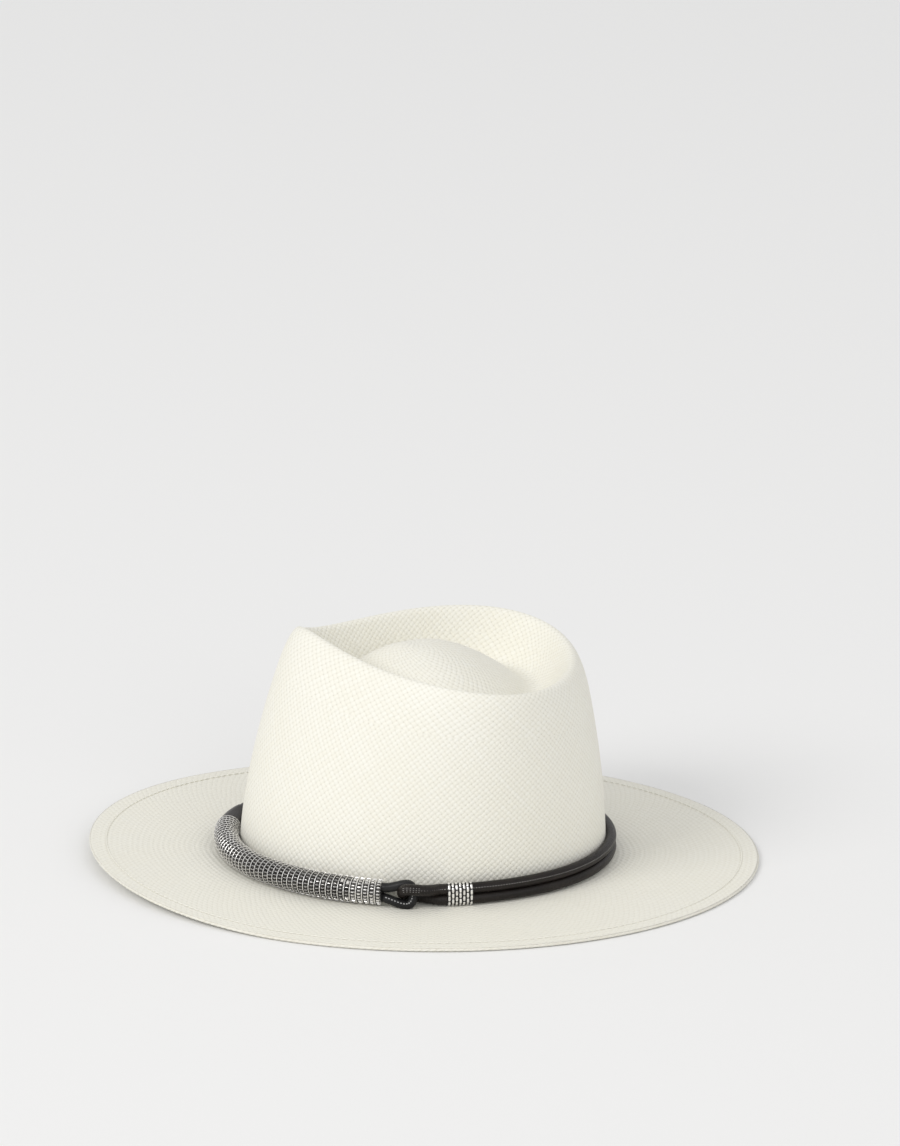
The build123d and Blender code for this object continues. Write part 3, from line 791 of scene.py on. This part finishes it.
CORD_RADIUS = 2.9
STRAND_HEIGHTS = (6.35, 12.05)
STRANDS_APART = STRAND_HEIGHTS[1] - STRAND_HEIGHTS[0]
STRANDS_MIDDLE = sum(STRAND_HEIGHTS) / 2
LINK_LENGTH = 25.5
LINK_TURN = math.asin(LINK_LENGTH / SIDE_RADIUS)
LINK_SWELL = 0.15
END_CAP_LENGTH = 14.0
CORD_INSIDE_CAP = 1.5
STRAND_STOP = ROPE_START_TURN - (END_CAP_LENGTH - CORD_INSIDE_CAP) / BAND_END_RADIUS
STRAND_SPACING = 2.5
TUBE_SIDES = 20
LOOP_RADIUS = 2.55

COLLAR_Y = 30.4
COLLAR_LENGTH = 13.5
COLLAR_TURN = math.asin((COLLAR_Y - BAND_CENTRE) / SIDE_RADIUS)
COLLAR_HALF_TURN = COLLAR_LENGTH / 2 / SIDE_RADIUS
COLLAR_COLUMNS = 7
BUGLES_ROUND = 10
BUGLE_SEAT = 3.27
BUGLE_HALF_HEIGHT = 0.28
BUGLE_HALF_WIDTH = 0.60
BUGLE_RINGS = (0.72, 1.0, 1.0, 1.0, 0.72)
BUGLE_SIDES = 8
SLEEVE_SKINS = (2.98, 2.94)
SLEEVE_STATIONS = 9
SLEEVE_SIDES = 56


def on_arc(arc, turn, z):
    """Point on a band arc and the direction of travel along it."""
    x, y, radius = arc
    point = np.array([x + radius * math.cos(turn), y + radius * math.sin(turn), z])
    return point, np.array([-math.sin(turn), math.cos(turn), 0.0])


def rope_place(run):
    """Centre and direction of the rope at a distance from its front end."""
    if run < ROPE_FRONT_LENGTH:
        return on_arc(FRONT_ARC, ROPE_START_TURN + run / BAND_END_RADIUS, ROPE_HEIGHT)
    return on_arc(LEFT_ARC, -SPLIT + (run - ROPE_FRONT_LENGTH) / SIDE_RADIUS, ROPE_HEIGHT)


def square_to(direction, along):
    """The unit direction at right angles to along that is nearest to a direction."""
    left = direction - along * np.dot(direction, along)
    return left / np.linalg.norm(left)


def ellipse(centre, first, second, sides, start=0.0):
    """Points round a centre, from its two half axes."""
    turns = TURN * (np.arange(sides) + start) / sides
    return list(centre + np.outer(np.cos(turns), first) + np.outer(np.sin(turns), second))


class Shape:
    """Collects vertices and faces, with a material number for each face."""

    def __init__(self):
        self.vertices, self.faces, self.kinds = [], [], []

    def add(self, points, faces, kind=0):
        start = len(self.vertices)
        self.vertices.extend(points)
        self.faces += [[start + k for k in face] for face in faces]
        self.kinds += [kind] * len(faces)

    def piece(self, name, materials, smooth=False):
        made = new_object(name, self.vertices, self.faces, materials[0], smooth)
        for extra in materials[1:]:
            made.data.materials.append(extra)
        made.data.polygons.foreach_set("material_index", self.kinds)
        made.data.update()
        return made


# ------ rope beads


def round_rope(along, turn):
    """Directions away from the rope's middle, and round it, at a turn round the rope."""
    out = np.cross(along, UP)
    outward = out * math.cos(turn) + UP * math.sin(turn)
    across = -out * math.sin(turn) + UP * math.cos(turn)
    return outward, across


def cut_block(seat, along, across, lift, size):
    """A block with a smaller raised table on top, as on a cut bead: 12 points and 9 faces."""
    length, width, height = size
    points = []
    levels = ((0.0, 1.0, 1.0), (height * (1 - BEAD_CHAMFER_SHARE), 1.0, 1.0), (height, *BEAD_TABLE_SHARE))
    for level, long_share, cross_share in levels:
        for a, b in ((-0.5, -0.5), (0.5, -0.5), (0.5, 0.5), (-0.5, 0.5)):
            corner = seat + along * (a * length * long_share) + across * (b * width * cross_share)
            points.append(corner + lift * level)
    return points, grid_faces(3, 4) + [(8, 9, 10, 11)]


def rope_beads(materials):
    """Rings of cut beads with a slim setting between each two, and a wire between the rings."""
    shape = Shape()
    for i in range(CAPPED_RINGS, ROPE_RING_COUNT):
        point, along = rope_place((i + 0.5) * RING_PITCH)
        bright = i >= ROPE_RING_COUNT - BRIGHT_RINGS
        nearness = (i - ROPE_RING_COUNT + BRIGHT_RINGS + FADE_RINGS) / FADE_RINGS
        start = random.uniform(-RING_TURN_SPREAD, RING_TURN_SPREAD)
        for k in range(BEADS_ROUND):
            turn = TURN * (k + 0.5 * (i % 2)) / BEADS_ROUND + start
            outward, across = round_rope(along, turn)
            tilt = outward + across * random.normal(0, BEAD_TILT_SPREAD)
            tilt = tilt + along * random.normal(0, BEAD_TILT_SPREAD)
            tilt /= np.linalg.norm(tilt)
            length, width, height = BEAD_SIZE
            size = (length, width, height + random.normal(0, BEAD_HEIGHT_SPREAD))
            shiny = bright or random.random() < SHINY_SHARE * nearness
            seat = point + outward * BEAD_SEAT_RADIUS + along * BEAD_SHIFT
            points, faces = cut_block(seat, along, across, tilt, size)
            shape.add(points, faces, SHINY_BEAD if shiny else BEAD)

            outward, across = round_rope(along, turn + TURN * 0.5 / BEADS_ROUND)
            size = LOW_SETTING_SIZE if bright else SETTING_SIZE
            seat = point + outward * BEAD_SEAT_RADIUS + along * BEAD_SHIFT
            points, faces = cut_block(seat, along, across, outward, size)
            shape.add(points, faces, DARK_SETTING if bright else BRIGHT_METAL)
        wire(shape, point - along * (RING_PITCH / 2 - WIRE_SHIFT), along)
    return shape.piece("rope_cut_beads", materials)


def wire(shape, centre, along):
    """A thin beaded wire ring round the rope."""
    around, sides = 66, 5
    points, faces = [], []
    for a in range(around):
        outward, _ = round_rope(along, TURN * a / around)
        swell = WIRE_THICKNESS * (1.0 if a % 3 else 0.72)
        points += ellipse(centre + outward * WIRE_RADIUS, outward * swell, along * swell, sides)
        n = (a + 1) % around
        for b in range(sides):
            c = (b + 1) % sides
            faces.append((a * sides + b, n * sides + b, n * sides + c, a * sides + c))
    shape.add(points, faces, BRIGHT_METAL)


# ------ collar


def slot_perimeter(offset):
    """Length of the slot shape that runs round both strands at an offset from their middles."""
    return 2 * (math.pi * offset + STRANDS_APART)


def slot_place(turn, run, offset):
    """A point on the slot shape, at a turn along the band and a run round the slot, and outward there."""
    run, side = run % slot_perimeter(offset), 1.0
    if run >= slot_perimeter(offset) / 2:
        run, side = run - slot_perimeter(offset) / 2, -1.0
    lean = max(run - STRANDS_APART, 0.0) / offset
    out, up = side * math.cos(lean), side * math.sin(lean)
    middle = side * (min(run, STRANDS_APART) - STRANDS_APART / 2)
    point, _ = on_arc(LEFT_ARC, turn, STRANDS_MIDDLE)
    outward = np.array([out * math.cos(turn), out * math.sin(turn), up])
    return point + UP * middle + outward * offset, outward


def collar_beads(materials):
    """Columns of long bugle beads wrapped round the sleeve, each column set half a bead on."""
    shape = Shape()
    step = slot_perimeter(BUGLE_SEAT) / BUGLES_ROUND
    faces = capped_tube_faces(len(BUGLE_RINGS), BUGLE_SIDES)
    for i in range(COLLAR_COLUMNS):
        turn = COLLAR_TURN - COLLAR_HALF_TURN + (i + 0.5) * 2 * COLLAR_HALF_TURN / COLLAR_COLUMNS
        _, along = on_arc(LEFT_ARC, turn, STRANDS_MIDDLE)
        for k in range(BUGLES_ROUND):
            start = step * (k + 0.5 * (i % 2)) + random.uniform(-0.12, 0.12)
            length = step - random.uniform(0.45, 0.75)
            slide = random.uniform(-0.05, 0.05)
            points = []
            for r, close in enumerate(BUGLE_RINGS):
                run = start + length * r / (len(BUGLE_RINGS) - 1)
                place, outward = slot_place(turn, run, BUGLE_SEAT)
                points += ellipse(
                    place + along * slide,
                    outward * (BUGLE_HALF_HEIGHT * close),
                    along * (BUGLE_HALF_WIDTH * close),
                    BUGLE_SIDES,
                    start=0.5,
                )
            shape.add(points, faces, 0 if random.random() < 0.8 else 1)
    return shape.piece("collar_bugle_beads", materials)


def collar_sleeve(material):
    """The thin leather sleeve under the collar's beads: its outer skin, and its inner skin back."""
    turns = np.linspace(COLLAR_TURN - COLLAR_HALF_TURN, COLLAR_TURN + COLLAR_HALF_TURN, SLEEVE_STATIONS)
    points = []
    for offset, way in zip(SLEEVE_SKINS, (turns, turns[::-1])):
        step = slot_perimeter(offset) / SLEEVE_SIDES
        points += [slot_place(turn, step * k, offset)[0] for turn in way for k in range(SLEEVE_SIDES)]
    faces = grid_faces(2 * SLEEVE_STATIONS, SLEEVE_SIDES, closed_rows=True)
    return new_object("collar_leather_sleeve", points, faces, material)


# ------ cord, loop and stitches


def link_point(along, out, up):
    """A point near the link: along the band to the rear, out from the crown, and up."""
    x, y, radius = LEFT_ARC
    turn = along / SIDE_RADIUS
    reach = radius + out
    return np.array([x + reach * math.cos(turn), y + reach * math.sin(turn), ROPE_HEIGHT + up])


def smooth_path(controls, per_span):
    """Points on a cubic spline that eases round its control points, from the first to the last."""
    controls = np.array([link_point(*place) for place in controls])
    first, last = controls[:1], controls[-1:]
    spread = np.concatenate([first, first, controls, last, last])
    points = []
    for k in range(len(spread) - 3):
        a, b, c, d = spread[k:k + 4]
        for t in np.arange(per_span) / per_span:
            two_sides = (1 - t)**3 * a + (3 * t**3 - 6 * t**2 + 4) * b
            points.append((two_sides + (-3 * t**3 + 3 * t**2 + 3 * t + 1) * c + t**3 * d) / 6)
    points.append(controls[-1])
    return np.array(points)


def path_travel(path):
    """Distance along a path at each of its points."""
    return np.concatenate([[0], np.cumsum(np.linalg.norm(np.diff(path, axis=0), axis=1))])


def path_place(path, travel, distance):
    """The point and the direction at a distance along a path."""
    before, point, after = (
        np.array([np.interp(spot, travel, path[:, k]) for k in range(3)])
        for spot in (distance - 0.6, distance, distance + 0.6)
    )
    return point, (after - before) / np.linalg.norm(after - before)


def swept_tube(name, path, radii, material):
    """A round tube along a path, with flat ends."""
    step = np.gradient(path, axis=0)
    directions = step / np.linalg.norm(step, axis=1, keepdims=True)
    normal = np.cross(directions[0], UP)
    points = []
    for centre, direction, radius in zip(path, directions, radii):
        normal = square_to(normal, direction)
        points += ellipse(centre, normal * radius, np.cross(direction, normal) * radius, TUBE_SIDES)
    piece = new_object(name, points, capped_tube_faces(len(path), TUBE_SIDES), material)
    add_run_map(piece, path_travel(path), TURN * radii[0] / TUBE_SIDES)
    return piece


def add_run_map(piece, travel, side_width):
    """A UV map in millimetres: x along the tube and y round it. The flat ends have none."""
    layer = piece.data.uv_layers.new(name="run")
    around = np.arange(TUBE_SIDES) * side_width
    corners = np.empty((len(travel) - 1, TUBE_SIDES, 4, 2))
    corners[:, :, :2, 0] = travel[:-1, None, None]
    corners[:, :, 2:, 0] = travel[1:, None, None]
    corners[:, :, [0, 3], 1] = around[None, :, None]
    corners[:, :, [1, 2], 1] = around[None, :, None] + side_width
    coordinates = np.zeros((len(piece.data.loops), 2))
    coordinates[: corners.size // 2] = corners.reshape(-1, 2)
    layer.data.foreach_set("uv", coordinates.ravel())


def strand_path(z):
    """One strand from the link round the rear of the hat to just inside the front end piece."""
    runs = (
        (LEFT_ARC, LINK_TURN, SPLIT),
        (REAR_ARC, SPLIT, math.pi - SPLIT),
        (RIGHT_ARC, math.pi - SPLIT, math.pi + SPLIT),
        (FRONT_ARC, math.pi + SPLIT, STRAND_STOP),
    )
    points = []
    for arc, start, stop in runs:
        count = int((stop - start) * arc[2] / STRAND_SPACING)
        points += [on_arc(arc, start + (stop - start) * k / count, z)[0] for k in range(count)]
    points.append(on_arc(FRONT_ARC, STRAND_STOP, z)[0])
    return np.array(points)


def cord_path():
    """The doubled cord, from end to end, and the numbers of the points where its bend starts and stops.

    The bend goes behind the loop, out through its eye, and back in front of it.
    """
    low, high = (z - ROPE_HEIGHT for z in STRAND_HEIGHTS)
    link = smooth_path((
        (25.5, 0.0, low), (24.2, 0.0, low), (22.4, 0.0, low), (18.0, -2.2, -3.5), (13.0, -4.1, -3.3),
        (8.5, -4.4, -3.2), (4.8, -3.4, -2.8), (3.0, 1.6, 0.7), (4.8, 6.8, 4.6), (9.5, 7.2, 4.5),
        (14.5, 5.2, 3.4), (18.8, 2.0, 2.4), (22.4, 0.0, high), (24.2, 0.0, high), (25.5, 0.0, high),
    ), per_span=8)[1:-1]
    lower = strand_path(STRAND_HEIGHTS[0])[::-1]
    upper = strand_path(STRAND_HEIGHTS[1])
    return np.concatenate([lower, link, upper]), len(lower), len(lower) + len(link)


def loop_path():
    """The rope's rear loop: out of the rope, round, and back into it, leaning out at the bottom."""
    return smooth_path((
        (-8.6, 0.4, 2.8), (-6.2, 0.8, 2.8), (-2.0, 0.9, 3.2), (3.4, 1.0, 5.2), (8.4, 1.0, 5.7),
        (9.5, 2.4, 0.6), (8.4, 3.9, -5.4), (3.4, 3.9, -5.0), (-2.0, 2.8, -3.2), (-6.2, 0.9, -2.6),
        (-8.6, 0.4, -2.5),
    ), per_span=10)


def cord(material):
    path, link_start, link_stop = cord_path()
    radii = np.full(len(path), CORD_RADIUS)
    bend = np.arange(link_stop - link_start) / (link_stop - link_start - 1)
    radii[link_start:link_stop] += LINK_SWELL * np.sin(math.pi * bend) ** 2
    return swept_tube("doubled_leather_cord", path, radii, material)


# A stitch's size is its length, half width and half height.
SEAM_STITCH = (0.95, 0.22, 0.12)
SIDE_STITCH = (0.75, 0.2, 0.12)
LOOP_STITCH = (0.85, 0.3, 0.18)
STITCH_STEP = 1.5
CLOSE_STITCH_STEP = 1.2
LOOP_STITCH_STEP = 1.6
CLOSE_STITCHES_LENGTH = 7
SEAM_LEAN = 0.3
SIDE_ROW_TURN = 0.34


def seam_stitch(shape, point, along, outward, size):
    """One flattened stitch lying on leather, thicker in its middle."""
    length, half_width, half_height = size
    across = np.cross(along, outward)
    rings, sides = (0.55, 1.0, 1.0, 0.55), 6
    points = []
    for r, close in enumerate(rings):
        centre = point + along * ((r / (len(rings) - 1) - 0.5) * length)
        points += ellipse(centre, outward * (half_height * close), across * (half_width * close), sides)
    shape.add(points, capped_tube_faces(len(rings), sides))


def cord_seam(material):
    """The seam on the upper strand, with three rows of stitches near the bend and one after that."""
    shape = Shape()
    path, link_start, link_stop = cord_path()
    travel = path_travel(path)
    bend_start = travel[link_start]
    bend_length = travel[link_stop] - travel[link_start]
    begin = bend_start + 0.60 * bend_length
    place = begin
    while place < travel[-1] - 4:
        point, along = path_place(path, travel, place)
        radial = point - np.array([0.0, BAND_CENTRE, point[2]])
        radial /= np.linalg.norm(radial)
        outward = square_to(radial * math.cos(SEAM_LEAN) + UP * math.sin(SEAM_LEAN), along)
        bend = min(max((place - bend_start) / bend_length, 0.0), 1.0)
        reach = CORD_RADIUS + LINK_SWELL * math.sin(math.pi * bend) ** 2
        seam_stitch(shape, point + outward * (reach - 0.07), along, outward, SEAM_STITCH)
        near = place - begin < CLOSE_STITCHES_LENGTH
        if near:
            across = np.cross(along, outward)
            for turn in (-SIDE_ROW_TURN, SIDE_ROW_TURN):
                lean = outward * math.cos(turn) + across * math.sin(turn)
                seam_stitch(shape, point + lean * (reach - 0.05), along, lean, SIDE_STITCH)
        place += CLOSE_STITCH_STEP if near else STITCH_STEP
    return shape.piece("cord_seam_stitches", [material], smooth=True)


def loop_seam(material):
    """Pale stitches on the loop's lower arm, towards the eye."""
    shape = Shape()
    path = loop_path()
    travel = path_travel(path)
    place = 0.50 * travel[-1]
    while place < travel[-1] - 3.5:
        point, along = path_place(path, travel, place)
        outward = square_to(np.array([1.0, 0.0, 0.55]), along)
        seam_stitch(shape, point + outward * (LOOP_RADIUS + 0.02), along, outward, LOOP_STITCH)
        place += LOOP_STITCH_STEP
    return shape.piece("rope_loop_stitches", [material], smooth=True)


# Rings of the front end piece: distance along the rope, radius, and how far it is a slot shape.
CAP_MOUTH = CAPPED_RINGS * RING_PITCH
CAP_STATIONS = (
    (CAP_MOUTH - 0.3, 4.9, 0.0), (CAP_MOUTH - 0.1, 5.75, 0.0), (CAP_MOUTH - 1.0, 6.15, 0.0),
    (6.0, 6.1, 0.0), (3.0, 6.0, 0.0), (0.0, 5.8, 0.05), (-3.5, 5.5, 0.15), (-7.0, 5.0, 0.35),
    (-10.5, 4.2, 0.7), (-13.2, 3.4, 1.0), (-14.0, 3.0, 1.0), (-14.05, 2.5, 1.0),
)
CAP_SIDES = 40
CAP_FOLDS = 9
CAP_FOLD_DEPTH = 0.012


def front_cap(material):
    """The leather end piece: gathered over the rope's first beads, and a slot shape at the cord."""
    points = []
    for run, radius, slot in CAP_STATIONS:
        height = ROPE_HEIGHT + (STRANDS_MIDDLE - ROPE_HEIGHT) * slot
        point, along = on_arc(FRONT_ARC, ROPE_START_TURN + run / BAND_END_RADIUS, height)
        out = np.cross(along, UP)
        for lean in TURN * np.arange(CAP_SIDES) / CAP_SIDES:
            reach = radius * (1 + CAP_FOLD_DEPTH * math.cos(CAP_FOLDS * lean + run * 0.2))
            stretch = STRANDS_APART / 2 * slot * math.tanh(3 * math.sin(lean))
            points.append(point + out * (reach * math.cos(lean)) + UP * (reach * math.sin(lean) + stretch))
    return new_object("rope_leather_cap", points, grid_faces(len(CAP_STATIONS), CAP_SIDES), material)


# ------ brim edge strands

EDGE_STRAND_COUNT = 312
EDGE_STRAND_WIDTHS = (0.10, 0.32, 0.37, 0.32, 0.10)
EDGE_STRAND_SIDES = 5
EDGE_STRAND_TURN = math.radians(70)
EDGE_STRAND_SINK = 0.16


def edge_strands(material):
    """Straw strands turned over the brim's edge, each slanting from under to over."""
    shape = Shape()
    radius = BRIM_EDGE_THICKNESS / 2
    places = 2 * EDGE_STRAND_COUNT
    top, outward = brim_edge(np.linspace(0, TURN, places, endpoint=False))
    rings = len(EDGE_STRAND_WIDTHS)
    faces = capped_tube_faces(rings, EDGE_STRAND_SIDES)
    for i in range(EDGE_STRAND_COUNT):
        points = []
        for r, wide in enumerate(EDGE_STRAND_WIDTHS):
            spot = (2 * i + r) % places
            lean = EDGE_STRAND_TURN * (2 * r / (rings - 1) - 1)
            centre = top[spot] + outward[spot] * (radius * (math.cos(lean) - 1) - EDGE_STRAND_SINK)
            centre = centre + UP * (radius * (math.sin(lean) - 1))
            slant = UP * 0.9 + np.cross(outward[spot], UP) * 0.3
            points += ellipse(centre, outward[spot] * wide, slant * wide, EDGE_STRAND_SIDES)
        shape.add(points, faces)
    return shape.piece("brim_edge_strands", [material], smooth=True)


# ------ the whole hat


def paint(node, material):
    """Gives a CAD node a new material."""
    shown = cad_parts[node]
    if not shown.material_slots:
        shown.data.materials.append(material)
    for slot in shown.material_slots:
        slot.material = material


def make_straw():
    body = straw_body(straw_material())
    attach(body, "hat")
    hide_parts("straw_body")
    edge = edge_strands(edge_strand_material())
    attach(edge, "hat")
    paint("hem_stitching", thread_material("straw_thread", rgb(0.90, 0.888, 0.825), rgb(0.87, 0.855, 0.785)))


def make_leather():
    """The leather parts of the band, and the loop's stitches."""
    dark, light = rgb(0.008, 0.006, 0.0052), rgb(0.018, 0.0138, 0.0118)
    brown = leather_material("brown_cord_leather", dark, light, rib=0.85, relief=0.00011)
    cap = leather_material("brown_cap_leather", dark, light)
    black = leather_material("black_cord_leather", rgb(0.006, 0.006, 0.0065), rgb(0.016, 0.016, 0.017))
    lining = leather_material("rope_lining_leather", rgb(0.010, 0.010, 0.011), rgb(0.022, 0.021, 0.021))
    grey = thread_material("grey_seam_thread", rgb(0.62, 0.62, 0.62), rgb(0.36, 0.36, 0.37))
    paint("rope_core", lining)
    sleeve = collar_sleeve(lining)
    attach(sleeve, "collar")
    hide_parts("collar_sleeve")
    loop = loop_path()
    for made, nodes, finish in (
        (cord(brown), ("leather_cord", "cord_filler"), "brown_leather"),
        (swept_tube("rope_leather_loop", loop, np.full(len(loop), LOOP_RADIUS), black),
         ("rope_rear_loop",), "black_leather"),
        (front_cap(cap), ("rope_front_end",), "brown_leather"),
        (loop_seam(grey), ("rope_loop_seam",), "seam_thread"),
    ):
        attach(made, "hat_band")
        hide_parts(*nodes)


def paint_inside():
    """Materials for the sweatband and all that holds it."""
    tan = leather_material(
        "sweatband_leather", rgb(0.105, 0.052, 0.026), rgb(0.155, 0.080, 0.042),
        grain=620.0, roughness=(0.36, 0.52), relief=0.00009, gloss=0.45,
    )
    gauze = cloth_material("joint_gauze_cloth", rgb(0.52, 0.48, 0.40), rgb(0.30, 0.27, 0.22), 0.9)
    ribbon = cloth_material(
        "bow_ribbon_cloth", rgb(0.075, 0.050, 0.038), rgb(0.030, 0.020, 0.015), 1.1, ribbed=True
    )
    paint("sweatband", tan)
    paint("sweatband_stitching", thread_material("tan_thread", rgb(0.33, 0.24, 0.15), rgb(0.20, 0.13, 0.08)))
    paint("sweatband_reed", reed_material())
    paint("reed_tape", cloth_material("reed_tape_cloth", rgb(0.66, 0.63, 0.55), rgb(0.46, 0.43, 0.36), 0.7))
    paint("rear_joint_gauze", gauze)
    paint("bow_loops", ribbon)
    paint("bow_knot", ribbon)


def make_beads():
    """The rope's beads, the collar's beads, and the cord's seam."""
    silver = metal_material("silver_wire", rgb(0.92, 0.91, 0.89), rgb(0.34, 0.32, 0.30), 0.45)
    pale_silver = metal_material("pale_silver", rgb(0.96, 0.95, 0.93), rgb(0.40, 0.38, 0.36), 0.5)
    stone = stone_material()
    beads = rope_beads([stone, pale_silver, stone, silver])
    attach(beads, "hat_band")
    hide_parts("rope_bead_rings")
    bugles = collar_beads([pale_silver, silver])
    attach(bugles, "collar")
    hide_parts("collar_bead_rings")
    seam = cord_seam(thread_material("cord_seam_thread", rgb(0.30, 0.29, 0.28), rgb(0.14, 0.135, 0.13)))
    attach(seam, "hat_band")


make_camera()
make_stage()
make_straw()
make_leather()
paint_inside()
make_beads()
